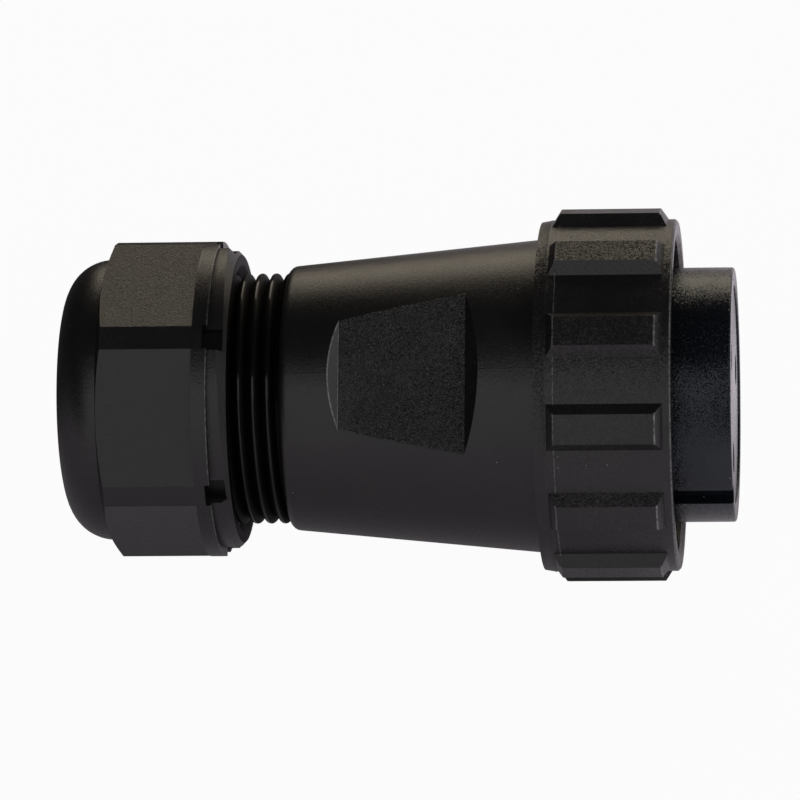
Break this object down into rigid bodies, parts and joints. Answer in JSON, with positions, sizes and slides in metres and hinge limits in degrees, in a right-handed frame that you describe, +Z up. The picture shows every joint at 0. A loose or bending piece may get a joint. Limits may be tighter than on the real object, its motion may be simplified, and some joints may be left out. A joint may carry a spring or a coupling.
{
  "type": "inline socket connector",
  "caption": "Inline cable socket with a ribbed coupling ring, a tapered body with finger flats and a hexagonal gland nut on an exposed thread.",
  "frame": {"origin": "centre of the contact face, on the connector's axis", "axes": "+X along the axis, out of the mating face; +Z up, with the connector lying on its side"},
  "size_m": [0.0751, 0.0418, 0.0418],
  "materials": {
    "shell_plastic": "moulded, fine grain",
    "insert_plastic": "spark-eroded grain",
    "cage_plastic": "moulded",
    "seal_rubber": "matt",
    "contact_brass": "turned",
    "spring_steel": "plated"
  },
  "bodies": {
    "body": {"body_shell": "shell_plastic", "ring_retaining_clip": "spring_steel", "contact_carrier": "insert_plastic", "contact_cover": "insert_plastic", "carrier_lock_ring": "cage_plastic", "carrier_seal": "seal_rubber", "mating_seal": "seal_rubber", "contact_retainer": "cage_plastic", "retainer_screw": "spring_steel", "terminal_screws": "spring_steel", "line_contact": "contact_brass", "neutral_contact": "contact_brass", "earth_contact": "contact_brass", "line_contact_spring": "spring_steel", "neutral_contact_spring": "spring_steel", "earth_contact_spring": "spring_steel"},
    "coupling_ring": {"coupling_ring": "shell_plastic"},
    "gland_cage": {"gland_cage": "cage_plastic", "gland_seal": "seal_rubber"},
    "gland_nut": {"gland_nut": "shell_plastic"}
  },
  "joints": [
    {"name": "ring_spin", "type": "hinge", "parent": "body", "child": "coupling_ring", "pos_m": [-0.02005, 0, 0], "axis": [1, 0, 0], "continuous": true},
    {"name": "gland_slide", "type": "slide", "parent": "body", "child": "gland_cage", "axis": [1, 0, 0], "range_m": [-0.00794, 0.00317]},
    {"name": "nut_turn", "type": "hinge", "parent": "gland_cage", "child": "gland_nut", "pos_m": [-0.05515, 0, 0], "axis": [1, 0, 0], "range_deg": [-1800, 720]}
  ],
  "couplings": [
    {"joint": "gland_slide", "follows": "nut_turn", "m_per_rad": 0.00025266}
  ]
}
